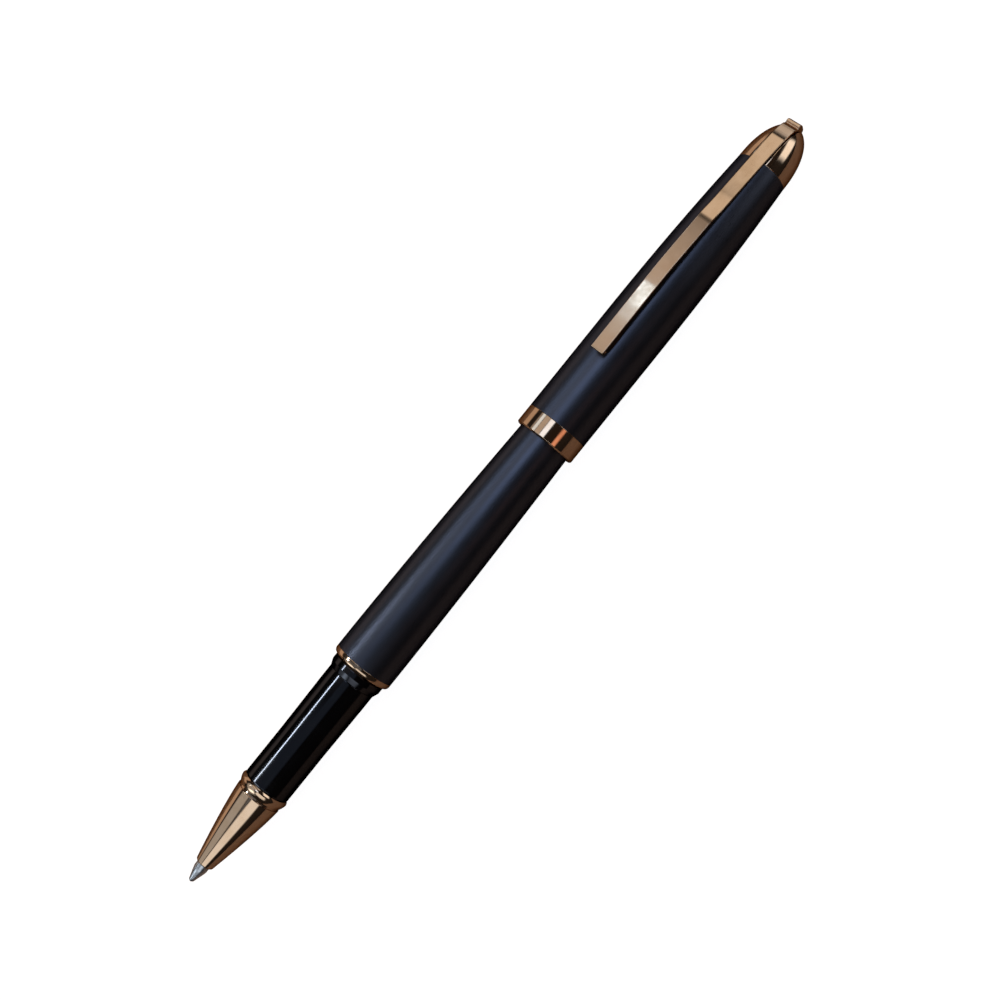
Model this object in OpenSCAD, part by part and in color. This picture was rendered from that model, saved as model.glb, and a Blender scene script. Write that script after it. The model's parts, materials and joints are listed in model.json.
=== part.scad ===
// Capped rollerball pen, stored with its cap posted on the barrel's tail.
// The pen lies along X, tip towards -X and cap towards +X, with the clip on top (+Z).
// Stations along the pen are measured in millimetres from the tip of the writing ball.

/* [Overall] */
// Length with the cap posted, from the ball to the end of the clip
pen_l = 159.4; // [159.2:0.1:159.8]
// Height of the pen's axis above the surface it lies on
axis_h = 5.6; // [5.6:0.1:6]

/* [Refill] */
// Radius of the writing ball
ball_r = 0.35; // [0.25:0.05:0.4]
// Radius of the steel tip's straight part
tip_r = 1.2; // [1.1:0.05:1.25]
// Radius of the refill's body
refill_r = 3.1; // [2.9:0.05:3.1]
// Overall length of the refill
refill_l = 111; // [109:0.5:111.5]

/* [Grip section] */
// Station of the gold cone's mouth
mouth_x = 3.65; // [3.4:0.05:4]
// Station of the gold cone's wide end
cone_x = 18.05; // [17.9:0.05:18.2]
// Radius of the gold cone's wide end
cone_r = 4.1; // [4:0.05:4.2]
// Radius of the small gold ring behind the cone
nose_ring_r = 4.48; // [4.4:0.02:4.5]
// Radius of the straight part of the grip
grip_r = 4.23; // [4.15:0.01:4.3]
// Radius of the collar between grip and barrel
collar_r = 4.8; // [4.7:0.05:4.85]

/* [Barrel] */
// Station where collar and barrel meet
joint_x = 44.65; // [44.4:0.05:44.9]
// Radius of the barrel at its front
barrel_r = 5.5; // [5.4:0.05:5.6]
// Station of the barrel's tail end
tail_x = 118.5; // [118:0.5:119]

/* [Thread] */
// Lead of the screw thread between section and barrel
pitch = 1; // [0.8:0.1:1.2]
// Turns of thread on each part
thread_turns = 4; // [3:1:4]

/* [Cap] */
// Station of the posted cap's lip
lip_x = 92.8; // [92:0.1:93.6]
// Length of the gold band at the lip
band_l = 3.5; // [3:0.1:4]
// Radius of the cap where it is widest
cap_r = 5.6; // [5.5:0.05:5.6]
// Station where the black cap ends and the gold dome begins
dome_x = 149.8; // [149.4:0.1:150]
// Radius of the dome's wide end
dome_r = 4.63; // [4.6:0.01:4.7]

/* [Clip] */
// Width of the clip
clip_w = 2.6; // [2.4:0.1:2.8]
// Station of the clip's free end
clip_end_x = 109.2; // [108:0.2:111]
// Height of the clip's free end above the pen's axis
clip_end_h = 7.5; // [7.3:0.1:7.7]

/* [Hidden] */
$fn = 96;
FINE = 0.05;

// Refill stations
holder_x = 7.7;
refill_tube_x = 17;
tip_back_x = 11;

// Section stations and fits
wall = 0.45;
cone_spigot_r = 3.75;
cone_spigot_x = 23;
nose_ring_x = [18.45, 20.1];
grip_back_x = 42.5;
refill_bore_r = refill_r + 0.2;
neck_r = 3.85;
neck_x = 36;

// Thread: ridge heights and widths shared by both parts
core_r = 4;
crest_r = 4.4;
thread_gap = 0.1;
ridge_root_w = 0.56;
ridge_crest_w = 0.24;
thread_x = 47.3;
thread_steps = 24;

// Barrel stations and fits
ring_back_x = joint_x + 1.25;
spigot_r = 4.95;
ring_spigot_x = ring_back_x + 1;
bush_back_x = 53.6;
bush_seat_x = 54;
taper_x = 50;
tail_seat_x = tail_x - 4;
tube_back_x = tail_x - 1.2;
spring_seat_x = tail_x - 3;

// Cap stations and fits
band_x = lip_x + band_l;
lip_bore_r = 4.92;
cap_bore_r = 5.15;
bore_end_x = 124;
top_bore_r = 4.15;
top_bore_x = 141;
shell_gap = 0.05;
sleeve_x = lip_x + 6;
sleeve_seat_l = 2;
sleeve_end_x = 139.1;
rib_x = lip_x + 23.9;
bush_x = 142;
screw_r = 1;
screw_head_r = 1.9;
dome_l = pen_l - 0.1 - dome_x;
screw_end_x = 156.6;
apex_r = 0.3;

// Clip: hinge station and the slot that holds the root
flex_x = 153;
slot_w = clip_w + 0.3;
slot_h = 1.6;
tongue_x = [153.3, 155.6];
slot_end_x = [157.1, 158.3];
tab_x = pen_l - 1;

// Radius of the barrel at station x: straight at the front, then curving in to the tail
function barrel_at(x) = let (s = max(0, x - taper_x)) barrel_r - 0.0055 * s - 0.00028 * s * s;

// Radius of the cap tube at station x: straight, then curving in to meet the dome
cap_curve_x = 114;
function cap_at(x) = let (u = max(0, x - cap_curve_x) / (dome_x - cap_curve_x))
    cap_r - (cap_r - dome_r) * pow(u, 2.3);

// Radius of the bullet-shaped dome at station x
function dome_at(x) = let (u = min(1, (x - dome_x) / dome_l)) dome_r * sqrt(max(0, 1 - pow(u, 2.3)));

// Radius of the gold nose cone at station x: a shallow ogive
mouth_r = 1.72;
function cone_at(x) = let (u = (cone_x - x) / (cone_x - mouth_x - 0.55))
    mouth_r + (cone_r - mouth_r) * (1 - pow(u, 1.25));

function steps(a, b, n) = [for (i = [0 : n]) a + (b - a) * i / n];

// Stands a shape modelled along +Z on the pen's axis, with its own +X turned up
module along_pen() {
    translate([-pen_l / 2, 0, axis_h]) rotate([0, -90, 180]) children();
}

// Revolves a profile given as [radius, station] points
module turned(points) {
    along_pen() rotate_extrude() polygon(points);
}

// A plain round bore or bar between two stations
module bar(r, from, to) {
    along_pen() translate([0, 0, from]) cylinder(r = r, h = to - from);
}

// Extrudes a side view, given as [station, height above the axis] points, across the pen
module side_view(points, width) {
    translate([-pen_l / 2, 0, axis_h]) rotate([90, 0, 0])
        linear_extrude(width, center = true) polygon(points);
}

// One helical ridge: its base on radius base_r, its crest on radius top_r, fading out at both ends
module helix_ridge(base_r, top_r, start_x, turns) {
    n = thread_steps * turns;
    function height(i) = min(1, i / 5, (n - i) / 5);
    function section(i) = let (
        turn = 360 * i / thread_steps,
        x = start_x + pitch * i / thread_steps,
        top = base_r + (top_r - base_r) * (0.1 + 0.9 * height(i)),
        half_top = ridge_crest_w / 2,
        half_root = ridge_root_w / 2
    ) [
        for (p = [[base_r, -half_root], [top, -half_top], [top, half_top], [base_r, half_root]])
            [p[0] * cos(turn), p[0] * sin(turn), x + p[1]]
    ];
    points = [for (i = [0 : n]) each section(i)];
    sides = [
        for (i = [0 : n - 1]) for (k = [0 : 3])
            let (a = 4 * i + k, b = 4 * i + (k + 1) % 4)
            each [[a, b, b + 4], [a, b + 4, a + 4]]
    ];
    caps = [[0, 3, 2], [0, 2, 1], [4 * n, 4 * n + 1, 4 * n + 2], [4 * n, 4 * n + 2, 4 * n + 3]];
    flip = top_r < base_r;
    faces = [for (f = concat(sides, caps)) flip ? [f[2], f[1], f[0]] : f];
    along_pen() polyhedron(points, faces);
}

// ---- Refill ----

module writing_ball() {
    color("dimgray") along_pen() translate([0, 0, ball_r]) sphere(r = ball_r);
}

module steel_tip() {
    rim_x = 0.25;
    cone_end_x = 2.7;
    neck = 0.9;
    color("silver") difference() {
        turned([
            [0, rim_x], [0.44, rim_x], [0.5, rim_x + 0.12], [1.1, cone_end_x - 0.4],
            [tip_r, cone_end_x], [tip_r, holder_x], [neck, holder_x], [neck, tip_back_x],
            [0, tip_back_x]
        ]);
        along_pen() translate([0, 0, ball_r]) sphere(r = ball_r + 0.02);
        bar(0.2, ball_r, 2);
        bar(0.5, 2, tip_back_x + 1);
    }
}

module refill_holder() {
    color("whitesmoke") difference() {
        turned([
            [0, holder_x], [1.6, holder_x], [1.75, holder_x + 0.2], [1.75, 10], [2.3, 11.5],
            [2.5, 14], [2.9, 15.2], [refill_r, 15.8], [refill_r, refill_tube_x],
            [refill_r - 0.3, refill_tube_x], [refill_r - 0.3, 22], [0, 22]
        ]);
        bar(0.9, holder_x - 1, tip_back_x);
        bar(0.55, tip_back_x - 1, 23);
    }
}

module refill_tube() {
    color("gainsboro") difference() {
        bar(refill_r, refill_tube_x, refill_l - 3);
        bar(refill_r - 0.3, refill_tube_x - 1, refill_l);
    }
}

module refill_end_plug() {
    vent_r = 0.6;
    color("black") difference() {
        turned([
            [0, refill_l - 6], [refill_r - 0.3, refill_l - 6], [refill_r - 0.3, refill_l - 3],
            [refill_r, refill_l - 3], [refill_r, refill_l - 0.4], [refill_r - 0.4, refill_l],
            [0, refill_l]
        ]);
        bar(vent_r, refill_l - 7, refill_l + 1);
    }
}

module ink_reservoir() {
    color("navy") difference() {
        bar(refill_r - 0.35, 22.5, refill_l - 6.5);
        bar(0.55, 22, 32);
    }
}

module feed_wick() {
    color("lightgray") bar(0.45, 8, 31.5);
}

// ---- Grip section ----

module nose_cone() {
    nose_bore_r = tip_r + 0.08;
    shoulder_x = holder_x - 0.05;
    lip_back_x = mouth_x + 0.55;
    outline = [for (x = steps(lip_back_x, cone_x, 12)) [cone_at(x), x]];
    color("goldenrod") difference() {
        turned(concat(
            [[0, mouth_x], [mouth_r - 0.3, mouth_x], [mouth_r - 0.08, mouth_x + 0.2]],
            outline,
            [
                [cone_r - 0.25, cone_x], [cone_r - 0.25, nose_ring_x[0]],
                [cone_spigot_r, nose_ring_x[0]], [cone_spigot_r, cone_spigot_x],
                [0, cone_spigot_x]
            ]
        ));
        bar(nose_bore_r, mouth_x - 1, shoulder_x + 1);
        turned([
            [0, shoulder_x], [1.9, shoulder_x], [1.95, 10.3], [2.55, 11.6], [2.75, 14],
            [refill_bore_r, 15.6], [refill_bore_r, cone_spigot_x + 1], [0, cone_spigot_x + 1]
        ]);
    }
}

module nose_ring() {
    crown_x = nose_ring_x[0] + 1.15;
    front_drop = 0.42;
    back_drop = 0.3;
    front = [
        for (u = steps(1, 0, 8))
            [nose_ring_r - front_drop * pow(u, 1.6), crown_x + (nose_ring_x[0] - crown_x) * u]
    ];
    back = [
        for (u = steps(0.25, 1, 3))
            [nose_ring_r - back_drop * pow(u, 1.4), crown_x + (nose_ring_x[1] - crown_x) * u]
    ];
    color("goldenrod") turned(concat(
        [[cone_spigot_r, nose_ring_x[0]]], front, back, [[cone_spigot_r, nose_ring_x[1]]]
    ));
}

module grip_sleeve() {
    straight_x = [nose_ring_x[1] + 0.3, 29.6];
    back_r = grip_r + 0.13;
    color("black") difference() {
        union() {
            bar(grip_r, straight_x[0], straight_x[1]);
            turned([
                [0, nose_ring_x[1]], [grip_r - 0.12, nose_ring_x[1]], [grip_r, straight_x[0]],
                [0, straight_x[0]]
            ]);
            turned([
                [0, straight_x[1]], [grip_r, straight_x[1]], [back_r, 40],
                [back_r, grip_back_x], [0, grip_back_x]
            ]);
        }
        bar(cone_spigot_r, nose_ring_x[1] - 1, cone_spigot_x + 0.1);
        bar(refill_bore_r, cone_spigot_x, grip_back_x + 1);
        bar(neck_r, neck_x, grip_back_x + 1);
    }
}

module section_collar() {
    front_r = grip_r + 0.16;
    color("black") difference() {
        turned([
            [0, grip_back_x], [front_r, grip_back_x], [collar_r - 0.06, grip_back_x + 0.85],
            [collar_r, grip_back_x + 1], [collar_r, joint_x - 0.2],
            [collar_r - 0.1, joint_x - 0.04], [0, joint_x - 0.04]
        ]);
        bar(neck_r, grip_back_x - 1, joint_x + 1);
    }
}

module threaded_connector() {
    groove_r = neck_r - 0.15;
    groove_x = [joint_x + 0.05, joint_x + 1.05];
    end_x = thread_x + pitch * thread_turns + 0.7;
    color("darkgoldenrod") difference() {
        union() {
            turned([
                [0, neck_x], [neck_r, neck_x], [neck_r, groove_x[0]], [groove_r, groove_x[0]],
                [groove_r, groove_x[1]], [core_r, groove_x[1]], [core_r, end_x - 0.2],
                [core_r - 0.2, end_x], [0, end_x]
            ]);
            helix_ridge(core_r - FINE, crest_r, thread_x, thread_turns);
        }
        bar(refill_bore_r, neck_x - 1, end_x + 1);
    }
}

module section_o_ring() {
    cord_r = 0.28;
    color("black") along_pen() translate([0, 0, joint_x + 0.55])
        rotate_extrude() translate([neck_r + cord_r, 0]) circle(r = cord_r, $fn = 32);
}

// ---- Barrel ----

module barrel_front_ring() {
    color("goldenrod") difference() {
        turned([
            [0, joint_x], [collar_r + 0.06, joint_x], [collar_r + 0.16, joint_x + 0.06],
            [barrel_r - 0.2, joint_x + 0.26], [barrel_r - 0.05, joint_x + 0.5],
            [barrel_r, joint_x + 0.7], [barrel_r, ring_back_x], [spigot_r, ring_back_x],
            [spigot_r, ring_spigot_x], [0, ring_spigot_x]
        ]);
        bar(crest_r + 0.15, joint_x - 1, ring_spigot_x + 1);
    }
}

module barrel_tube() {
    outside = [for (x = steps(taper_x, tube_back_x, 16)) [barrel_at(x), x]];
    inside = [for (x = steps(tail_seat_x, bush_seat_x, 12)) [barrel_at(x) - wall, x]];
    color("black") turned(concat(
        [[spigot_r, ring_back_x], [barrel_r, ring_back_x]],
        outside,
        [[barrel_at(tail_seat_x) - wall, tube_back_x]],
        inside,
        [[spigot_r, bush_seat_x]]
    ));
}

module barrel_thread_bush() {
    bore_r = crest_r + thread_gap;
    color("darkgoldenrod") union() {
        difference() {
            bar(spigot_r, ring_spigot_x, bush_back_x);
            bar(bore_r, ring_spigot_x - 1, bush_back_x + 1);
        }
        helix_ridge(bore_r + FINE, core_r + thread_gap, thread_x + pitch / 2, thread_turns);
    }
}

module barrel_tail_plug() {
    seat_r = barrel_at(tail_seat_x) - wall;
    rim_r = barrel_at(tail_x - 1.2);
    edge = 0.6;
    color("black") difference() {
        turned(concat(
            [[0, tail_seat_x], [seat_r, tail_seat_x], [seat_r, tube_back_x], [rim_r, tube_back_x]],
            [for (a = [0 : 15 : 90]) [rim_r - edge + edge * cos(a), tail_x - edge + edge * sin(a)]],
            [[0, tail_x]]
        ));
        bar(2.9, tail_seat_x - 1, spring_seat_x);
    }
}

module refill_spring() {
    wire_r = 0.2;
    coil_r = 2.3;
    turns = 4;
    sides = 8;
    per_turn = 20;
    n = turns * per_turn;
    front_x = refill_l + wire_r + 0.02;
    back_x = spring_seat_x - wire_r - 0.02;
    points = [
        for (i = [0 : n]) for (k = [0 : sides - 1])
            let (turn = 360 * i / per_turn, a = 360 * k / sides, r = coil_r + wire_r * cos(a))
            [r * cos(turn), r * sin(turn), front_x + (back_x - front_x) * i / n + wire_r * sin(a)]
    ];
    walls = [
        for (i = [0 : n - 1]) for (k = [0 : sides - 1])
            let (a = sides * i + k, b = sides * i + (k + 1) % sides)
            each [[a, b + sides, b], [a, a + sides, b + sides]]
    ];
    ends = [
        [for (k = [0 : sides - 1]) k],
        [for (k = [sides - 1 : -1 : 0]) sides * n + k]
    ];
    color("lightsteelblue") along_pen() polyhedron(points, concat(walls, ends));
}

// ---- Cap ----

module cap_inner_sleeve() {
    seat_gap = 0.04;
    seat_back_x = sleeve_x + sleeve_seat_l;
    inner_r = barrel_at(seat_back_x) + seat_gap;
    relief_r = 4.62;
    rib_r = 4.42;
    outer_r = cap_bore_r - shell_gap;
    outer_end_r = top_bore_r + 0.05;
    color("dimgray") difference() {
        turned([
            [0, sleeve_x], [outer_r, sleeve_x], [outer_r, bore_end_x - 0.4],
            [outer_end_r, sleeve_end_x], [0, sleeve_end_x]
        ]);
        turned([
            [0, sleeve_x - 1], [barrel_at(sleeve_x) + seat_gap + 0.1, sleeve_x - 1],
            [barrel_at(sleeve_x) + seat_gap, sleeve_x], [inner_r, seat_back_x],
            [relief_r, seat_back_x + 0.2], [relief_r, rib_x - 0.5], [rib_r, rib_x - 0.2],
            [rib_r, rib_x + 0.2], [relief_r, rib_x + 0.5], [relief_r, bore_end_x - 2],
            [outer_end_r - 0.55, sleeve_end_x - 0.8], [0, sleeve_end_x - 0.8]
        ]);
    }
}

module cap_band() {
    edge = 0.22;
    color("goldenrod") difference() {
        turned([
            [0, lip_x], [cap_r - edge, lip_x], [cap_r, lip_x + edge], [cap_r, band_x],
            [cap_bore_r, band_x], [cap_bore_r, band_x + 2], [0, band_x + 2]
        ]);
        bar(lip_bore_r, lip_x - 1, band_x + 3);
    }
}

module cap_tube() {
    outside = [for (x = steps(cap_curve_x, dome_x, 14)) [cap_at(x), x]];
    color("black") union() {
        difference() {
            bar(cap_r, band_x, cap_curve_x);
            bar(cap_bore_r, band_x - 1, cap_curve_x + 1);
        }
        turned(concat(
            [[cap_bore_r, cap_curve_x]],
            outside,
            [[top_bore_r, dome_x], [top_bore_r, top_bore_x], [cap_bore_r, bore_end_x]]
        ));
    }
}

module cap_top_bush() {
    head_seat_x = bush_x + 2;
    color("darkgoldenrod") difference() {
        bar(top_bore_r, bush_x, dome_x - 0.8);
        bar(screw_head_r + 0.1, bush_x - 1, head_seat_x);
        bar(screw_r + 0.1, head_seat_x - 1, dome_x);
    }
}

module finial_screw() {
    head_x = bush_x + 0.7;
    head_l = 1.3;
    slot = 0.5;
    color("silver") difference() {
        union() {
            bar(screw_head_r, head_x, head_x + head_l);
            bar(screw_r, head_x + head_l, screw_end_x);
        }
        translate([head_x - pen_l / 2, 0, axis_h]) cube([1, slot, 2 * screw_head_r + 1], center = true);
    }
}

module finial_dome() {
    outline = [for (x = steps(dome_x, dome_x + dome_l, 24)) [max(apex_r, dome_at(x)), x]];
    relief_h = [4.4, 3.6];
    apex_h = 0.1;
    color("goldenrod") difference() {
        turned(concat(
            [[0, dome_x - 0.8], [top_bore_r, dome_x - 0.8], [top_bore_r, dome_x]],
            outline,
            [[0, dome_x + dome_l]]
        ));
        side_view([
            [dome_x - 0.5, relief_h[0]], [dome_x, relief_h[0]], [flex_x - 0.2, relief_h[1]],
            [flex_x - 0.2, slot_h], [tongue_x[0] - FINE, slot_h], [tongue_x[0] - FINE, -2.2],
            [tongue_x[1] + FINE, -2.2], [tongue_x[1] + FINE, slot_h], [slot_end_x[0], slot_h],
            [slot_end_x[1], apex_h], [pen_l, apex_h], [pen_l, 6], [dome_x - 0.5, 6]
        ], slot_w);
        bar(screw_r, dome_x - 2, screw_end_x);
    }
}

// ---- Clip ----

// Top surface of the clip, from the free end to the turned-over tab
clip_top = [
    [clip_end_x, clip_end_h], [117, clip_end_h + 0.02], [123, clip_end_h + 0.08],
    [126.5, clip_end_h + 0.06], [130.5, clip_end_h - 0.22], [137.3, clip_end_h - 0.74],
    [139.9, 6.2], [141.4, 5.98], [149, 5.1], [flex_x, 4.6]
];

module clip_arm() {
    nose = 0.35;
    underside = [
        [flex_x - 0.03, 3.75], [dome_x + 0.8, 4.4], [dome_x + 0.1, 4.7], [141.2, 5.28],
        [139.7, 5.5], [137.2, 6], [130.5, 6.45], [118, 6.5], [114.5, 6.3], [112.6, 5.72],
        [111.6, 5.66], [110.8, 5.9], [110.1, 6.55], [clip_end_x, 6.6]
    ];
    tip_x = clip_end_x - pen_l / 2;
    color("goldenrod") difference() {
        side_view(concat(
            [[clip_end_x, clip_end_h - 0.15], [clip_end_x + 0.15, clip_end_h]],
            [for (i = [1 : len(clip_top) - 2]) clip_top[i]],
            [[flex_x - 0.03, 4.6]],
            underside
        ), clip_w);
        for (side = [-1, 1]) {
            translate([tip_x, side * clip_w / 2, axis_h]) rotate([0, 0, side * 45])
                cube([nose, nose, 20], center = true);
        }
    }
}

module clip_root() {
    color("goldenrod") difference() {
        side_view([
            [flex_x, 4.6], [155, 4.28], [156.6, 3.82], [157.8, 3.2], [158.15, 2.6], [tab_x, 2.5],
            [tab_x + 0.15, 2.72], [tab_x + 0.6, 2.68], [pen_l - 0.12, 2.2], [pen_l, 1.8],
            [pen_l, 0.6], [pen_l - 0.3, 0.2], [slot_end_x[1] + 0.1, 0.2],
            [slot_end_x[0] + 0.1, slot_h + 0.1],
            [tongue_x[1], slot_h + 0.1], [tongue_x[1], -2.1], [tongue_x[0], -2.1],
            [tongue_x[0], slot_h + 0.1], [flex_x, slot_h + 0.1]
        ], clip_w);
        bar(screw_r, tongue_x[0] - 1, tongue_x[1] + 1);
    }
}

writing_ball();
steel_tip();
refill_holder();
refill_tube();
refill_end_plug();
ink_reservoir();
feed_wick();
nose_cone();
nose_ring();
grip_sleeve();
section_collar();
threaded_connector();
section_o_ring();
barrel_front_ring();
barrel_tube();
barrel_thread_bush();
barrel_tail_plug();
refill_spring();
cap_inner_sleeve();
cap_band();
cap_tube();
cap_top_bush();
finial_screw();
finial_dome();
clip_root();
clip_arm();
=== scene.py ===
import json
import math

import bmesh
import bpy
from mathutils import Matrix, Vector


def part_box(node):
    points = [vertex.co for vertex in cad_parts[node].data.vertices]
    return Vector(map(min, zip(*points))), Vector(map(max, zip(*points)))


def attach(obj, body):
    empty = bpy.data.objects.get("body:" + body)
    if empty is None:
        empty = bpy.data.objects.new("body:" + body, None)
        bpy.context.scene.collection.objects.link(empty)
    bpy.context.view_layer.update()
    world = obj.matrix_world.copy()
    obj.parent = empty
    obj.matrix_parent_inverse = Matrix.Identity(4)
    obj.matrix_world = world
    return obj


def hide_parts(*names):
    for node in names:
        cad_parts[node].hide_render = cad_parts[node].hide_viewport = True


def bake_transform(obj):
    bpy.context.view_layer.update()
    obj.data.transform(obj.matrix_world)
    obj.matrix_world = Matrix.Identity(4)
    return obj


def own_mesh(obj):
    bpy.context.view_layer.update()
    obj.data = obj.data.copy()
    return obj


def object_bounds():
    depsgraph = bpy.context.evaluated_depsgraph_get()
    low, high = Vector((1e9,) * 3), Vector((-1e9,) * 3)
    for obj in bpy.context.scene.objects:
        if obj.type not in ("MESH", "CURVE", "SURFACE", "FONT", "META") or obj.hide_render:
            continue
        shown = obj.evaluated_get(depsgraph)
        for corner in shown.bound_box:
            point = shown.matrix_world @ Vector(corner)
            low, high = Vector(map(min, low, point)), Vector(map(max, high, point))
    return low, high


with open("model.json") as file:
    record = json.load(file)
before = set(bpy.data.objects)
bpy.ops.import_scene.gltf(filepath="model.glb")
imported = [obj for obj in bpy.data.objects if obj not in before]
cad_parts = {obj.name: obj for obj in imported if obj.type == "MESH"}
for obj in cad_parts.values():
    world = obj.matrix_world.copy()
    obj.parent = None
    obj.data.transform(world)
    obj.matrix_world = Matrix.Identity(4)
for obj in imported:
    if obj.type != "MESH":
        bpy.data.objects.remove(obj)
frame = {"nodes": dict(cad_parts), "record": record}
cad_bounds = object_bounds()

MM = 0.001
TIP_X = cad_bounds[0].x
AXIS_Z = sum(corner.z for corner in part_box("barrel_tube")) / 2
BODIES = frame["record"]["behaviour"]["bodies"]
BODY_OF = {node: body for body, nodes in BODIES.items() for node in nodes}
SLOT_OF = {part["node"]: part["material_slot"] for part in frame["record"]["subparts"]}

ROUND_STEPS = 160  # sides of a turned piece
SHARP_TURN = math.radians(20)  # corners that turn more than this are rounded
ARC_STEP = math.radians(12)
ARC_STEPS_MIN = 3
CORNER_REACH = 0.42  # the most of an outline's side that one rounded corner may take
RUN_BESIDE_ARC = 1.1  # where the straight run beside an arc starts, as a share of the arc's reach
FLAT = 2e-7  # lengths in metres below this count as none


# ---- Outlines ----


def at(station, height=0.0):
    """A point of a side view, from a station in mm from the tip and a height in mm above the axis."""
    return Vector((TIP_X + station * MM, height * MM))


def cad_outline(node):
    """The half section of a turned CAD node, as (x, radius) points in order, and whether it is closed.
    It is open where it ends on the axis."""
    mesh = frame["nodes"][node].data
    links = {}
    for edge in mesh.edges:
        ends = [mesh.vertices[i].co for i in edge.vertices]
        if any(abs(co.y) > FLAT or co.z < AXIS_Z - FLAT for co in ends):
            continue
        a, b = ((round(co.x, 7), round(co.z - AXIS_Z, 7)) for co in ends)
        if a != b:
            links.setdefault(a, set()).add(b)
            links.setdefault(b, set()).add(a)
    loose = sorted(p for p, near in links.items() if len(near) == 1)
    path = [loose[0] if loose else min(links)]
    seen = set(path)
    while True:
        onward = sorted(p for p in links[path[-1]] if p not in seen)
        if not onward:
            break
        path.append(onward[0])
        seen.add(onward[0])
    if loose:
        path = [(path[0][0], 0.0)] + path + [(path[-1][0], 0.0)]
        path = [p for i, p in enumerate(path) if i == 0 or p != path[i - 1]]
    return [Vector(p) for p in path], not loose


def rounded(points, closed, radius, sharp=SHARP_TURN):
    """The outline with its corners turned into arcs, each with a short straight run before and after it.
    radius is one size for all corners, or a list with a size for each point."""
    out = []
    for i, here in enumerate(points):
        if not closed and i in (0, len(points) - 1):
            out.append(here)
            continue
        before = points[i - 1] - here
        after = points[(i + 1) % len(points)] - here
        turn = math.pi - before.angle(after)
        if turn < sharp:
            out.append(here)
            continue
        size = radius[i] if isinstance(radius, list) else radius
        reach = min(size * math.tan(turn / 2), CORNER_REACH * before.length, CORNER_REACH * after.length)
        size = reach / math.tan(turn / 2)
        a, b = before.normalized(), after.normalized()
        centre = here + (a + b).normalized() * math.hypot(size, reach)
        start, end = here + a * reach - centre, here + b * reach - centre
        steps = max(ARC_STEPS_MIN, math.ceil(turn / ARC_STEP))
        arc = [centre + start.slerp(end, k / steps) * size for k in range(steps + 1)]
        out += [here + a * reach * RUN_BESIDE_ARC, *arc, here + b * reach * RUN_BESIDE_ARC]
    return out


# ---- Meshes ----


def spin(name, points, closed, steps=ROUND_STEPS):
    """A piece turned from an outline around the pen's axis."""
    vertices, rings = [], []
    for x, radius in points:
        if radius < FLAT:
            rings.append([len(vertices)] * steps)
            vertices.append((x, 0, AXIS_Z))
            continue
        rings.append(list(range(len(vertices), len(vertices) + steps)))
        for k in range(steps):
            turn = math.tau * k / steps
            vertices.append((x, radius * math.sin(turn), AXIS_Z + radius * math.cos(turn)))
    return skin(name, vertices, rings, closed)


def skin(name, vertices, rings, closed):
    """A smooth piece from rings of vertex numbers, joined ring to ring.
    A ring on the axis repeats one number."""
    faces = []
    count = len(rings)
    for i in range(count if closed else count - 1):
        here, there = rings[i], rings[(i + 1) % count]
        for k in range(len(here)):
            n = (k + 1) % len(here)
            face = [here[k], here[n], there[n], there[k]]
            face = [v for j, v in enumerate(face) if v != face[j - 1]]
            if len(face) > 2:
                faces.append(face)
    return new_object(name, vertices, faces)


def sleeve_faces(rings):
    """The faces between rings of vertex numbers, with both ends closed."""
    faces = [rings[0], rings[-1][::-1]]
    for here, there in zip(rings, rings[1:]):
        for k in range(len(here)):
            n = (k + 1) % len(here)
            faces.append([here[k], here[n], there[n], there[k]])
    return faces


def new_object(name, vertices, faces, sharp=None):
    mesh = bpy.data.meshes.new(name)
    mesh.from_pydata([tuple(v) for v in vertices], [], faces)
    mesh.validate()
    outward(mesh)
    mesh.shade_smooth()
    if sharp is not None:
        mesh.set_sharp_from_angle(angle=sharp)
    piece = bpy.data.objects.new(name, mesh)
    bpy.context.scene.collection.objects.link(piece)
    return piece


def outward(mesh):
    """Turns all faces to look out of a closed mesh, by the sign of its volume."""
    work = bmesh.new()
    work.from_mesh(mesh)
    bmesh.ops.recalc_face_normals(work, faces=work.faces)
    if work.calc_volume(signed=True) < 0:
        bmesh.ops.reverse_faces(work, faces=work.faces)
    work.to_mesh(mesh)
    work.free()


# ---- Materials ----


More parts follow.
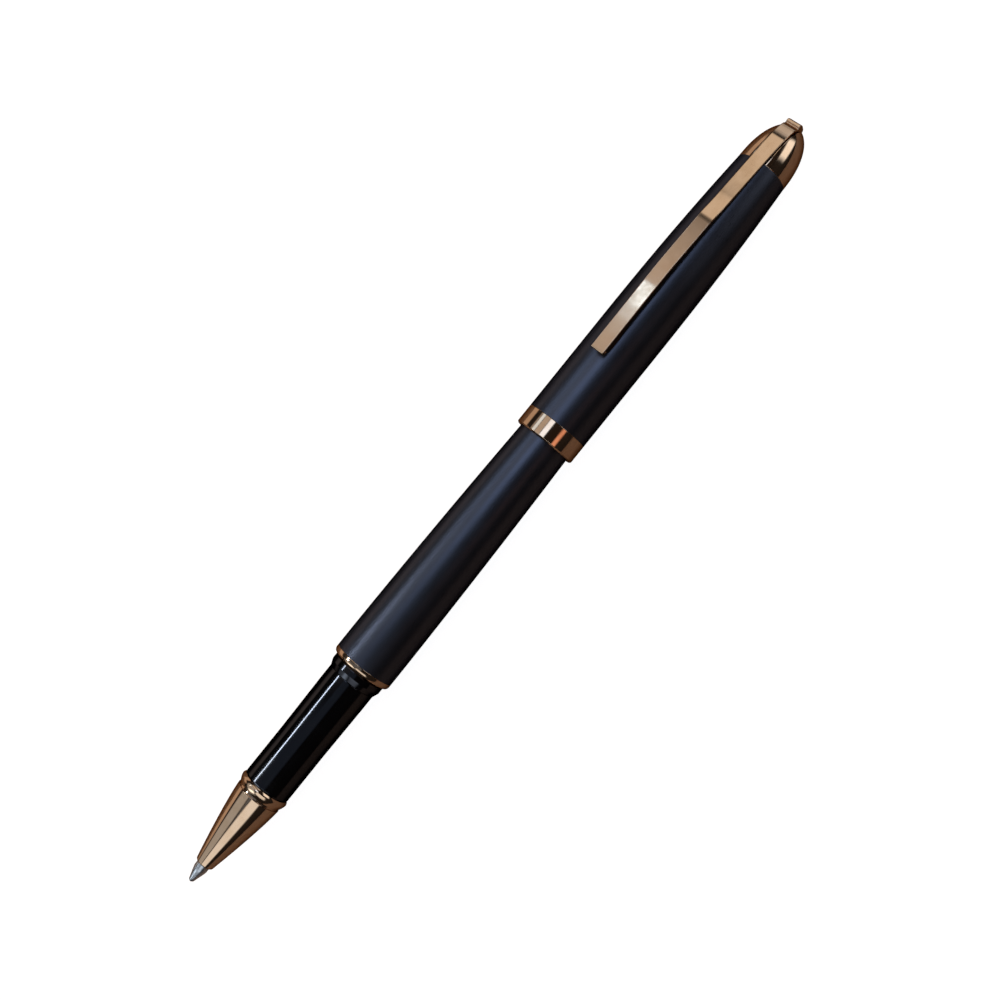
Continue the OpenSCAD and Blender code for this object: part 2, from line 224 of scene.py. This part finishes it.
class Surface:
    """A procedural material on the Principled shader, with helpers for its texture nodes."""

    def __init__(self, name, **constants):
        self.material = bpy.data.materials.new(name)
        self.material.use_nodes = True
        self.tree = self.material.node_tree
        self.shader = self.tree.nodes["Principled BSDF"]
        for socket, value in constants.items():
            self.shader.inputs[socket.replace("_", " ")].default_value = value
        self.place = self.tree.nodes.new("ShaderNodeTexCoord").outputs["Object"]

    def node(self, kind, inputs, **settings):
        node = self.tree.nodes.new("ShaderNode" + kind)
        for key, value in settings.items():
            setattr(node, key, value)
        for key, value in inputs.items():
            if isinstance(value, bpy.types.NodeSocket):
                self.tree.links.new(value, node.inputs[key])
            else:
                node.inputs[key].default_value = value
        return node

    def noise(self, per_mm, detail=2.0, stretch=(1, 1, 1), turn=(0, 0, 0), roughness=0.5):
        """Noise with per_mm features a millimetre, squeezed by stretch along each axis."""
        scale = tuple(s * per_mm / MM for s in stretch)
        mapping = self.node("Mapping", {"Vector": self.place, "Rotation": turn, "Scale": scale})
        inputs = {"Vector": mapping.outputs[0], "Scale": 1.0, "Detail": detail, "Roughness": roughness}
        return self.node("TexNoise", inputs).outputs[0]

    def cells(self, per_mm, kind="F1"):
        scale = (per_mm / MM,) * 3
        mapping = self.node("Mapping", {"Vector": self.place, "Scale": scale})
        inputs = {"Vector": mapping.outputs[0], "Scale": 1.0}
        return self.node("TexVoronoi", inputs, feature=kind).outputs["Distance"]

    def span(self, source, low, high, to_low, to_high):
        inputs = {"Value": source, 1: low, 2: high, 3: to_low, 4: to_high}
        return self.node("MapRange", inputs, interpolation_type="SMOOTHSTEP").outputs[0]

    def math(self, operation, a, b):
        return self.node("Math", {0: a, 1: b}, operation=operation).outputs[0]

    def blend(self, factor, a, b):
        node = self.node("Mix", {"Factor": factor}, data_type="RGBA")
        for socket, value in (("A", a), ("B", b)):
            target = next(s for s in node.inputs if s.name == socket and s.type == "RGBA")
            if isinstance(value, bpy.types.NodeSocket):
                self.tree.links.new(value, target)
            else:
                target.default_value = (*value, 1)
        return next(s for s in node.outputs if s.type == "RGBA")

    def scratches(self, per_mm, width, turn):
        """Fine straight scratches that all run one way: thin where the noise crosses its middle."""
        lines = self.noise(per_mm, detail=1.0, stretch=(0.03, 1, 1), turn=turn)
        off = self.math("ABSOLUTE", self.math("SUBTRACT", lines, 0.5), 0)
        patch = self.span(self.noise(per_mm * 0.05), 0.5, 0.62, 0, 1)
        return self.math("MULTIPLY", self.span(off, 0, width, 1, 0), patch)

    def colour(self, socket):
        self.tree.links.new(socket, self.shader.inputs["Base Color"])

    def rough(self, socket):
        self.tree.links.new(socket, self.shader.inputs["Roughness"])

    def bump(self, height, depth_mm, strength=1.0):
        inputs = {"Height": height, "Distance": depth_mm * MM, "Strength": strength}
        self.tree.links.new(self.node("Bump", inputs).outputs[0], self.shader.inputs["Normal"])


DARK_EDGE = (0.0, 0.0, 0.0, 1)
BROWN_EDGE = (0.3, 0.16, 0.09, 1)


def black_lacquer():
    """Satin black lacquer over brass: very fine orange peel, handling marks and a little dust."""
    s = Surface("black_lacquer", Metallic=1.0, Specular_Tint=DARK_EDGE)
    cloud = s.noise(0.16, detail=3)
    marks = s.scratches(2.2, 0.004, (0.3, 0.5, 0.35))
    specks = s.span(s.cells(1.9), 0.03, 0.05, 1, 0)
    s.colour(s.blend(s.math("MULTIPLY", specks, 0.05), (0.076, 0.079, 0.102), (0.3, 0.3, 0.32)))
    s.rough(s.math("SUBTRACT", s.span(cloud, 0.3, 0.7, 0.34, 0.38), s.math("MULTIPLY", marks, 0.1)))
    peel = s.noise(5, detail=2)
    s.bump(s.math("SUBTRACT", peel, s.math("MULTIPLY", marks, 0.12)), 0.003)
    return s.material


def gloss_black():
    """Polished black resin: clear reflections, faint polishing lines round the pen, finger smears."""
    s = Surface("gloss_black", Metallic=1.0, Specular_Tint=DARK_EDGE)
    smear = s.noise(0.25, detail=4, stretch=(1, 0.5, 0.5))
    marks = s.scratches(3.0, 0.004, (0.2, -0.4, 0.2))
    s.colour(s.blend(s.span(smear, 0.4, 0.7, 0, 1), (0.05, 0.05, 0.057), (0.056, 0.054, 0.058)))
    s.rough(s.math("ADD", s.span(smear, 0.35, 0.75, 0.1, 0.16), s.math("MULTIPLY", marks, 0.15)))
    s.bump(s.noise(1.2, detail=2, stretch=(3, 0.4, 0.4)), 0.0002)
    return s.material


def gold_plate():
    """Polished champagne-gold plate: turning marks round the pen, small wear and tarnish."""
    s = Surface("gold_plate", Metallic=1.0, Specular_Tint=BROWN_EDGE)
    tone = s.noise(0.5, detail=4)
    rings = s.noise(30, detail=1, stretch=(1, 0.01, 0.01))
    marks = s.scratches(4.0, 0.006, (0.1, 0.3, 0.15))
    s.colour(s.blend(s.span(tone, 0.35, 0.7, 0, 1), (0.66, 0.455, 0.31), (0.62, 0.415, 0.27)))
    rough = s.math("ADD", s.span(tone, 0.3, 0.7, 0.05, 0.1), s.math("MULTIPLY", rings, 0.03))
    s.rough(s.math("ADD", rough, s.math("MULTIPLY", marks, 0.12)))
    fine = s.math("SUBTRACT", rings, s.math("MULTIPLY", marks, 0.6))
    waves = s.noise(0.28, detail=1)
    s.bump(s.math("ADD", fine, s.math("MULTIPLY", waves, 50)), 0.00015)
    return s.material


def raw_brass():
    """Turned brass with clear tool rings and dull spots."""
    s = Surface("raw_brass", Metallic=1.0)
    dull = s.noise(0.8, detail=4)
    rings = s.noise(22, detail=1, stretch=(1, 0.01, 0.01))
    s.colour(s.blend(s.span(dull, 0.4, 0.7, 0, 1), (0.74, 0.54, 0.25), (0.52, 0.36, 0.16)))
    s.rough(s.span(dull, 0.3, 0.7, 0.22, 0.4))
    s.bump(rings, 0.003)
    return s.material


def tip_steel():
    """Turned stainless steel: bright, with fine rings and a grey cast."""
    s = Surface("tip_steel", Metallic=1.0)
    rings = s.noise(45, detail=1, stretch=(1, 0.01, 0.01))
    cast = s.noise(1.5, detail=3)
    s.colour(s.blend(cast, (0.56, 0.57, 0.6), (0.42, 0.43, 0.46)))
    s.rough(s.math("ADD", s.span(cast, 0.3, 0.7, 0.2, 0.3), s.math("MULTIPLY", rings, 0.1)))
    s.bump(rings, 0.0015)
    return s.material


def carbide():
    """Polished carbide ball with a trace of black ink."""
    s = Surface("carbide", Metallic=1.0)
    ink = s.span(s.noise(4, detail=3), 0.45, 0.6, 0, 1)
    s.colour(s.blend(ink, (0.3, 0.3, 0.33), (0.03, 0.03, 0.05)))
    s.rough(s.span(ink, 0, 1, 0.12, 0.3))
    s.bump(s.noise(30), 0.0008)
    return s.material


def plastic(name, dark, light, rough, grain_mm, depth_mm):
    """Matte moulded plastic: a fine even grain, slight shade changes and rubbed spots."""
    s = Surface(name, IOR=1.48)
    shade = s.noise(0.5, detail=3)
    grain = s.noise(1 / grain_mm, detail=2)
    rubbed = s.span(s.noise(0.3, detail=2), 0.52, 0.66, 0, 1)
    s.colour(s.blend(shade, dark, light))
    even = s.span(grain, 0.3, 0.7, rough, rough + 0.12)
    s.rough(s.math("SUBTRACT", even, s.math("MULTIPLY", rubbed, 0.12)))
    s.bump(grain, depth_mm)
    return s.material


def fibre(name, dark, light):
    """Bundled fibre that runs along the pen."""
    s = Surface(name, IOR=1.4)
    strands = s.noise(14, detail=2, stretch=(0.04, 1, 1))
    s.colour(s.blend(strands, dark, light))
    s.rough(s.span(strands, 0.3, 0.7, 0.75, 0.95))
    s.bump(strands, 0.03)
    return s.material


def spring_steel():
    """Drawn wire, with die lines and a dull oil film."""
    s = Surface("spring_steel", Metallic=1.0)
    lines = s.noise(20, detail=1, stretch=(1, 0.2, 0.2))
    s.colour(s.blend(lines, (0.5, 0.51, 0.53), (0.38, 0.39, 0.41)))
    s.rough(s.span(lines, 0.3, 0.7, 0.22, 0.38))
    s.bump(lines, 0.002)
    return s.material


def rubber():
    """Matte black rubber with a talc bloom."""
    s = Surface("rubber", IOR=1.5)
    bloom = s.noise(2.5, detail=4)
    s.colour(s.blend(s.span(bloom, 0.5, 0.75, 0, 1), (0.012, 0.012, 0.012), (0.05, 0.05, 0.05)))
    s.rough(s.span(bloom, 0.3, 0.7, 0.5, 0.75))
    s.bump(s.noise(12), 0.004)
    return s.material


MATERIALS = {
    "black_lacquer": black_lacquer(),
    "gloss_black": gloss_black(),
    "gold_plate": gold_plate(),
    "raw_brass": raw_brass(),
    "tip_steel": tip_steel(),
    "carbide": carbide(),
    "refill_grey": plastic("refill_grey", (0.5, 0.51, 0.52), (0.6, 0.61, 0.62), 0.35, 0.08, 0.003),
    "refill_black": plastic("refill_black", (0.02, 0.02, 0.022), (0.04, 0.04, 0.042), 0.4, 0.08, 0.003),
    "ink_fibre": fibre("ink_fibre", (0.004, 0.006, 0.03), (0.02, 0.03, 0.1)),
    "wick_fibre": fibre("wick_fibre", (0.1, 0.12, 0.2), (0.25, 0.27, 0.34)),
    "sleeve_plastic": plastic("sleeve_plastic", (0.03, 0.03, 0.032), (0.05, 0.05, 0.053), 0.45, 0.12, 0.006),
    "spring_steel": spring_steel(),
    "rubber": rubber(),
}


# ---- Pieces ----


def finish_piece(piece, *nodes, blended=False):
    """Gives a piece its material and, unless blended, its body, and hides the CAD nodes that it stands for.
    """
    piece.data.materials.clear()
    piece.data.materials.append(MATERIALS[SLOT_OF[nodes[0]]])
    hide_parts(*nodes)
    if not blended:
        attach(piece, BODY_OF[nodes[0]])
    return piece


# Turned nodes, with the size in mm of their rounded edges. 0 keeps the CAD's outline.
TURNED = {
    "writing_ball": 0,
    "steel_tip": 0.03,
    "refill_holder": 0.08,
    "refill_tube": 0.05,
    "refill_end_plug": 0.08,
    "nose_cone": 0.06,
    "nose_ring": 0.08,
    "grip_sleeve": 0.1,
    "section_collar": 0.12,
    "section_o_ring": 0,
    "barrel_front_ring": 0.07,
    "barrel_tube": 0.06,
    "barrel_tail_plug": 0.1,
    "cap_inner_sleeve": 0.1,
    "cap_band": 0.08,
    "cap_tube": 0.06,
    "cap_top_bush": 0.1,
}

for node, edge_mm in TURNED.items():
    points, closed = cad_outline(node)
    if edge_mm:
        points = rounded(points, closed, edge_mm * MM)
    finish_piece(spin(node + "_turned", points, closed), node)


# ---- Threads and spring, in mm ----

THREAD_LEAD = 1.0
THREAD_TURNS = 4
THREAD_X = 47.3  # where the male ridge starts
THREAD_FADE = 0.06  # share of a ridge over which each end rises
CORE_R = 4.0
CREST_R = 4.4
BUSH_R = 4.5
CREST_HALF_W = 0.12
ROOT_HALF_W = 0.28
TUBE_EDGE = 0.06
CONNECTOR_OUTLINE = [
    (36, 3.3), (36, 3.85), (44.7, 3.85), (44.7, 3.7), (45.7, 3.7), (45.7, CORE_R), (51.8, CORE_R),
    (52, 3.8), (52, 3.3),
]
BUSH_OUTLINE = [(47.2, BUSH_R), (47.2, 4.95), (53.6, 4.95), (53.6, BUSH_R)]

SPRING_X = (111.22, 115.28)
SPRING_TURNS = 4
SPRING_R = 2.3
WIRE_R = 0.2
WIRE_SIDES = 16


def coil(section, start, lead, turns, fade=0.0, steps=64):
    """Vertices and faces of a section swept along a helix. section(share) gives its (radius, offset) points,
    and share rises from 0 to 1 over fade of the length at each end."""
    vertices, rings = [], []
    count = round(turns * steps)
    for i in range(count + 1):
        turn = math.tau * i / steps
        share = min(1.0, i / count / fade, (1 - i / count) / fade) if fade else 1.0
        middle = start + lead * i / steps
        ring = []
        for radius, offset in section(share):
            ring.append(len(vertices))
            x = TIP_X + (middle + offset) * MM
            vertices.append((x, -radius * MM * math.sin(turn), AXIS_Z + radius * MM * math.cos(turn)))
        rings.append(ring)
    return vertices, sleeve_faces(rings)


def ridge_section(base_r, top_r):
    """The section of a thread ridge with a rounded crest, sunk a little into the surface it stands on."""

    def section(share):
        top = base_r + (top_r - base_r) * share
        ledge = (top - base_r) * 0.25
        foot = base_r - (top_r - base_r) * 0.2
        return [
            (foot, -ROOT_HALF_W), (base_r, -ROOT_HALF_W), (top - ledge, -CREST_HALF_W - 0.04),
            (top, -CREST_HALF_W * 0.6), (top, CREST_HALF_W * 0.6), (top - ledge, CREST_HALF_W + 0.04),
            (base_r, ROOT_HALF_W), (foot, ROOT_HALF_W),
        ]

    return section


def merged(name, *pieces):
    """One piece made from several that are in place."""
    vertices, faces = [], []
    for piece in pieces:
        first = len(vertices)
        vertices += [v.co.copy() for v in piece.data.vertices]
        faces += [[first + i for i in polygon.vertices] for polygon in piece.data.polygons]
        bpy.data.objects.remove(piece)
    return new_object(name, vertices, faces, sharp=math.radians(50))


def threaded_tube(node, outline, ridge, start):
    """A turned tube with one helical ridge on it."""
    tube = spin(node + "_tube", rounded([at(*p) for p in outline], True, TUBE_EDGE * MM), True)
    vertices, faces = coil(ridge, start, THREAD_LEAD, THREAD_TURNS, fade=THREAD_FADE)
    screw = new_object(node + "_ridge", vertices, faces)
    finish_piece(merged(node + "_turned", tube, screw), node)


def refill_spring():
    def wire(share):
        turns = [math.tau * k / WIRE_SIDES for k in range(WIRE_SIDES)]
        return [(SPRING_R + WIRE_R * math.cos(t), WIRE_R * math.sin(t)) for t in turns]

    front, back = SPRING_X
    vertices, faces = coil(wire, front, (back - front) / SPRING_TURNS, SPRING_TURNS)
    spring = finish_piece(new_object("refill_spring_wire", vertices, faces), "refill_spring")
    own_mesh(spring)


threaded_tube("threaded_connector", CONNECTOR_OUTLINE, ridge_section(CORE_R, CREST_R), THREAD_X)
threaded_tube(
    "barrel_thread_bush",
    BUSH_OUTLINE,
    ridge_section(BUSH_R, BUSH_R - CREST_R + CORE_R),
    THREAD_X + THREAD_LEAD / 2,
)
refill_spring()

# ---- Dome, in mm ----

DOME_X = 149.8
DOME_L = 9.5
DOME_R = 4.63
DOME_POWER = 2.3
DOME_LIP = 0.06  # size of the rounded edge where the dome meets the cap
DOME_RINGS = 84
DOME_STEPS = 140
SLOT_HALF_W = 1.45
SLOT_EDGE = 0.06
SLOT_STEP_X = 152.8  # the slot is shallow in front of this, and deep behind it
SLOT_END_X = (157.1, 158.3)
SLOT_FLOOR = [
    (DOME_X, 4.4), (SLOT_STEP_X, 3.6), (SLOT_STEP_X + 0.001, 1.6), (SLOT_END_X[0], 1.6), (SLOT_END_X[1], 0.1),
    (DOME_X + DOME_L + 1, 0.1),
]


def dome_radius(x):
    return DOME_R * math.sqrt(max(0.0, 1 - ((x - DOME_X) / DOME_L) ** DOME_POWER))


def slot_floor(x):
    """Height of the slot's floor above the axis at a station."""
    for (x0, h0), (x1, h1) in zip(SLOT_FLOOR, SLOT_FLOOR[1:]):
        if x <= x1:
            return h0 + (h1 - h0) * max(0.0, x - x0) / (x1 - x0)


def dome_section(x, inset):
    """Points (y, height) round the dome at a station, from one edge of the slot round to its other edge."""
    radius = dome_radius(x) - inset
    floor_h = min(slot_floor(x), radius)
    half_w = min(SLOT_HALF_W, math.sqrt(max(0.0, radius**2 - floor_h**2)))
    wall_top = math.sqrt(max(0.0, radius**2 - half_w**2))
    edge = min(SLOT_EDGE, 0.3 * (wall_top - floor_h))
    first = math.asin(min(1.0, (half_w + edge) / radius))
    side = [(half_w, floor_h), (half_w, (floor_h + wall_top) / 2), (half_w, wall_top - edge * 1.3)]
    side += [(half_w + edge * 0.3, wall_top - edge * 0.4)]
    arc = []
    for k in range(DOME_STEPS + 1):
        turn = first + (math.tau - 2 * first) * k / DOME_STEPS
        arc.append((radius * math.sin(turn), radius * math.cos(turn)))
    other = [(-y, h) for y, h in reversed(side)]
    return side + arc + other


def finial_dome():
    lip = DOME_LIP
    stations = [(DOME_X, lip), (DOME_X + 0.3 * lip, 0.3 * lip), (DOME_X + lip, 0), (DOME_X + 2 * lip, 0)]
    for k in range(1, DOME_RINGS):
        share = math.sin(math.pi / 2 * k / DOME_RINGS)
        stations.append((DOME_X + 2 * lip + (DOME_L - 2 * lip) * share, 0))
    stations += [(x, 0) for x in (SLOT_STEP_X - 0.001, SLOT_STEP_X + 0.002, *SLOT_END_X)]
    vertices, rings = [], []
    for x, inset in sorted(stations):
        ring = []
        for y, height in dome_section(x, inset):
            ring.append(len(vertices))
            vertices.append((TIP_X + x * MM, y * MM, AXIS_Z + height * MM))
        rings.append(ring)
    shell = new_object("finial_dome_shell", vertices, sleeve_faces(rings), sharp=math.radians(45))
    finish_piece(shell, "finial_dome")


finial_dome()

# ---- Clip, in mm ----

CLIP_FREE_X = 109.2
CLIP_ROOT_X = 153
CLIP_SIDE = [
    # station, height, corner radius: along the top from the free end, round the tab and back underneath
    (CLIP_FREE_X, 7.5, 0.25), (117, 7.52, 60), (123, 7.58, 60), (126.5, 7.56, 25), (130.5, 7.28, 60),
    (137.3, 6.76, 16), (139.9, 6.2, 18), (141.4, 5.98, 40), (149, 5.1, 60), (CLIP_ROOT_X, 4.6, 40),
    (155, 4.28, 20), (156.6, 3.82, 6), (157.8, 3.2, 2), (158.15, 2.6, 0.25), (158.4, 2.5, 0.15),
    (158.55, 2.72, 0.15), (159, 2.68, 0.25), (159.28, 2.2, 0.6), (159.4, 1.8, 1), (159.4, 0.6, 0.3),
    (159.1, 0.2, 0.2), (158.4, 0.2, 0.2), (157.2, 1.7, 0.3), (155.6, 1.7, 0.1), (155.6, -2.1, 0.2),
    (153.3, -2.1, 0.2), (153.3, 1.7, 0.1), (153.05, 1.7, 0.2), (152.97, 3.75, 0.3), (150.6, 4.4, 4),
    (149.9, 4.7, 2), (141.2, 5.28, 6), (139.7, 5.5, 4), (137.2, 6, 6), (130.5, 6.45, 20),
    (118, 6.5, 20), (114.5, 6.3, 4), (112.6, 5.72, 1.2), (111.6, 5.66, 0.8), (110.8, 5.9, 1),
    (110.1, 6.55, 0.5), (CLIP_FREE_X, 6.6, 0.3),
]
CLIP_HALF_W = (1.25, 1.32)  # at the free end and at the root
CLIP_EDGE = 0.12  # size of the rounded edges along the strip
CLIP_FLAT = 0.05  # short straight run beside a rounded edge
CLIP_CORNER = 0.3  # size of the rounded corners at the free end, seen from above


def side_normals(points):
    """Inward directions at the points of a closed outline."""
    area = sum(p.cross(points[(i + 1) % len(points)]) for i, p in enumerate(points))
    sign = 1 if area > 0 else -1
    out = []
    for i, here in enumerate(points):
        along = (points[(i + 1) % len(points)] - points[i - 1]).normalized()
        out.append(Vector((-along.y, along.x)) * sign)
    return out


def clip():
    """The whole strip, in layers: each is the side outline, moved in from the side and shrunk by a drop."""
    corners = [at(x, h) for x, h, _ in CLIP_SIDE]
    outline = rounded(corners, True, [r * MM for _, _, r in CLIP_SIDE], sharp=math.radians(0.5))
    outline = [p for i, p in enumerate(outline) if (p - outline[i - 1]).length > 1e-7]
    inward = side_normals(outline)
    free_x, root_x = TIP_X + CLIP_FREE_X * MM, TIP_X + CLIP_ROOT_X * MM
    layers = [(0, CLIP_EDGE + CLIP_FLAT)]
    for degrees in (0, 22.5, 45, 67.5, 90):
        a = math.radians(degrees)
        layers.append((CLIP_EDGE * (1 - math.cos(a)), CLIP_EDGE * (1 - math.sin(a))))
    layers += [(CLIP_EDGE + CLIP_FLAT, 0), (CLIP_CORNER, 0)]
    vertices, rings = [], []
    for sign, rows in ((1, layers), (-1, layers[::-1])):
        for side, drop in rows:
            ring = []
            cut = CLIP_CORNER - math.sqrt(max(0.0, CLIP_CORNER**2 - max(0.0, CLIP_CORNER - side) ** 2))
            for p, n in zip(outline, inward):
                q = p + n * drop * MM
                share = min(1.0, max(0.0, (p.x - free_x) / (root_x - free_x)))
                half = CLIP_HALF_W[0] + (CLIP_HALF_W[1] - CLIP_HALF_W[0]) * share
                ring.append(len(vertices))
                vertices.append((max(q.x, free_x + cut * MM), sign * (half - side) * MM, AXIS_Z + q.y))
            rings.append(ring)
    strip = new_object("clip_strip", vertices, sleeve_faces(rings))
    finish_piece(strip, "clip_root", "clip_arm", blended=True)
    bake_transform(strip)


clip()

# CAD nodes that stay as they are, with better materials
for node, shown in frame["nodes"].items():
    if not shown.hide_render:
        shown.data.materials.clear()
        shown.data.materials.append(MATERIALS[SLOT_OF[node]])
        shown.data.shade_smooth()

# ---- Floor, lights and camera ----

CLIP_TURN = math.radians(21)  # the camera's angle round the pen, from straight above the clip
LEAN = math.radians(51.13)  # the pen's angle in the picture
DISTANCE = 0.2199
TARGET_X = TIP_X + 80.9 * MM
TARGET_DROP = 0.00035
LENS = 48.05

FLOOR_HALF = 1.5
WALL_R = 1.35
WALL_H = 1.6
WALL_SIDES = 64


def pale_stage(name, vertices, faces, dark, light):
    """A matte surface that looks white. Its glow reaches only itself: it whitens the picture's background,
    and neither lights the pen nor mirrors in it."""
    mesh = bpy.data.meshes.new(name)
    mesh.from_pydata(vertices, [], faces)
    sheet = bpy.data.objects.new(name, mesh)
    bpy.context.scene.collection.objects.link(sheet)
    s = Surface("pale_" + name, Emission_Color=(0.97, 0.985, 1, 1), Emission_Strength=0.97)
    s.colour(s.blend(s.noise(0.05, detail=3), dark, light))
    s.rough(s.span(s.noise(0.3), 0.3, 0.7, 0.8, 0.9))
    mesh.materials.append(s.material)
    glow = bpy.data.collections.new(name + "_glow")
    glow.objects.link(sheet)
    sheet.light_linking.receiver_collection = glow


def floor():
    corners = [(x * FLOOR_HALF, y * FLOOR_HALF, 0) for x, y in ((-1, -1), (1, -1), (1, 1), (-1, 1))]
    pale_stage("floor", corners, [(0, 1, 2, 3)], (0.33, 0.19, 0.115), (0.37, 0.22, 0.14))


def backdrop():
    n = WALL_SIDES
    ring = [math.tau * k / n for k in range(n)]
    vertices = [(WALL_R * math.cos(t), WALL_R * math.sin(t), z) for z in (0, WALL_H) for t in ring]
    faces = [(k, (k + 1) % n, n + (k + 1) % n, n + k) for k in range(n)]
    pale_stage("backdrop", vertices, faces, (0.02, 0.015, 0.012), (0.03, 0.022, 0.018))


def panel(name, turn, distance, width, length, colour, strength, x=0.0, lean=0.0, soft=(0.3, 0.35)):
    """A soft-edged light panel. turn is its angle from straight up, towards +Y, seen along the pen; lean
    tips it towards +X. width is across the pen and length along it. soft is the share of each half that
    fades, along and across."""
    turn, lean = math.radians(turn), math.radians(lean)
    away = Vector((math.sin(lean), math.sin(turn) * math.cos(lean), math.cos(turn) * math.cos(lean)))
    half_l, half_w = length / 2, width / 2
    corners = [(-half_l, -half_w, 0), (half_l, -half_w, 0), (half_l, half_w, 0), (-half_l, half_w, 0)]
    mesh = bpy.data.meshes.new(name)
    mesh.from_pydata(corners, [], [(0, 1, 2, 3)])
    plane = bpy.data.objects.new(name, mesh)
    bpy.context.scene.collection.objects.link(plane)
    along = Vector((1, 0, 0))
    along = (along - away * along.dot(away)).normalized()
    across = away.cross(along)
    place = away * distance + Vector((x, 0, AXIS_Z))
    plane.matrix_world = Matrix.Translation(place) @ Matrix((along, across, away)).transposed().to_4x4()
    s = Surface(name, Emission_Color=(*colour, 1), Base_Color=(0, 0, 0, 1), Roughness=1.0)
    axes = s.node("SeparateXYZ", {"Vector": s.place})
    fade = strength
    for i, half in ((0, half_l), (1, half_w)):
        off = s.math("ABSOLUTE", axes.outputs[i], 0)
        fade = s.math("MULTIPLY", s.span(off, half * (1 - soft[i]), half, 1, 0), fade)
    s.tree.links.new(fade, s.shader.inputs["Emission Strength"])
    mesh.materials.append(s.material)
    plane.visible_camera = False


def camera():
    along = Vector((1, 0, 0))
    across = Vector((0, -math.cos(CLIP_TURN), -math.sin(CLIP_TURN)))
    towards = Vector((0, -math.sin(CLIP_TURN), math.cos(CLIP_TURN)))
    right = math.cos(LEAN) * along + math.sin(LEAN) * across
    up = math.sin(LEAN) * along - math.cos(LEAN) * across
    target = Vector((TARGET_X, 0, AXIS_Z)) + across * TARGET_DROP
    place = target + towards * DISTANCE
    data = bpy.data.cameras.new("camera")
    data.lens = LENS
    data.sensor_width = 36
    data.clip_start = 0.01
    view = bpy.data.objects.new("camera", data)
    view.matrix_world = Matrix.Translation(place) @ Matrix((right, up, towards)).transposed().to_4x4()
    bpy.context.scene.collection.objects.link(view)
    bpy.context.scene.camera = view


def surroundings():
    world = bpy.data.worlds.new("studio")
    world.use_nodes = True
    background = world.node_tree.nodes["Background"]
    background.inputs["Color"].default_value = (0.022, 0.016, 0.013, 1)
    background.inputs["Strength"].default_value = 1.0
    bpy.context.scene.world = world
    bpy.context.scene.view_settings.view_transform = "Standard"


floor()
backdrop()
panel("box", 20, 0.6, 0.75, 0.55, (1.0, 0.98, 0.96), 0.6, x=0.095, soft=(0.44, 0.35))
panel("box_end", 20, 0.59, 0.5, 0.28, (1.0, 0.96, 0.86), 0.86, x=0.48, soft=(0.4, 0.5))
panel("pane_near", -0.5, 0.58, 0.22, 0.42, (0.58, 0.74, 1.0), 2.5, x=0.15, soft=(0.4, 0.4))
panel("pane_far", 36, 0.58, 0.15, 0.42, (0.6, 0.78, 1.0), 1.75, x=0.15, soft=(0.4, 0.45))
panel("lamp", 20, 0.56, 0.08, 0.022, (0.5, 0.72, 1.0), 4.2, x=0.136, soft=(0.4, 0.7))
panel("window", 37, 0.58, 0.046, 0.16, (0.8, 0.92, 1.0), 34, x=-0.205, soft=(0.12, 0.5))
panel("ceiling", 6, 0.62, 0.85, 0.5, (0.66, 0.8, 1.0), 0.2, x=-0.36, soft=(0.1, 0.3))
panel("cone_fill", -28, 0.6, 0.5, 0.4, (0.84, 0.93, 1.0), 1.26, lean=-42)
panel("cone_side", 34, 0.6, 0.5, 0.5, (0.84, 0.93, 1.0), 0.58, lean=-48)
panel("ring_light", 32, 0.6, 0.4, 0.2, (0.8, 0.92, 1.0), 2.7, lean=-56, soft=(0.7, 0.7))
panel("dome_card", -54, 0.6, 0.32, 0.44, (0.85, 0.93, 1.0), 1.7, lean=51, soft=(0.5, 0.35))
panel("end_card", 22, 0.6, 0.4, 0.3, (0.9, 0.95, 1.0), 0.8, lean=62, soft=(0.5, 0.4))
panel("warm_card", -51, 0.6, 0.22, 0.06, (1.0, 0.5, 0.34), 1.1, x=0.053, soft=(0.3, 0.7))
panel("far_side", 80, 0.6, 0.3, 1.2, (1.0, 0.8, 0.65), 0.6)
surroundings()
camera()
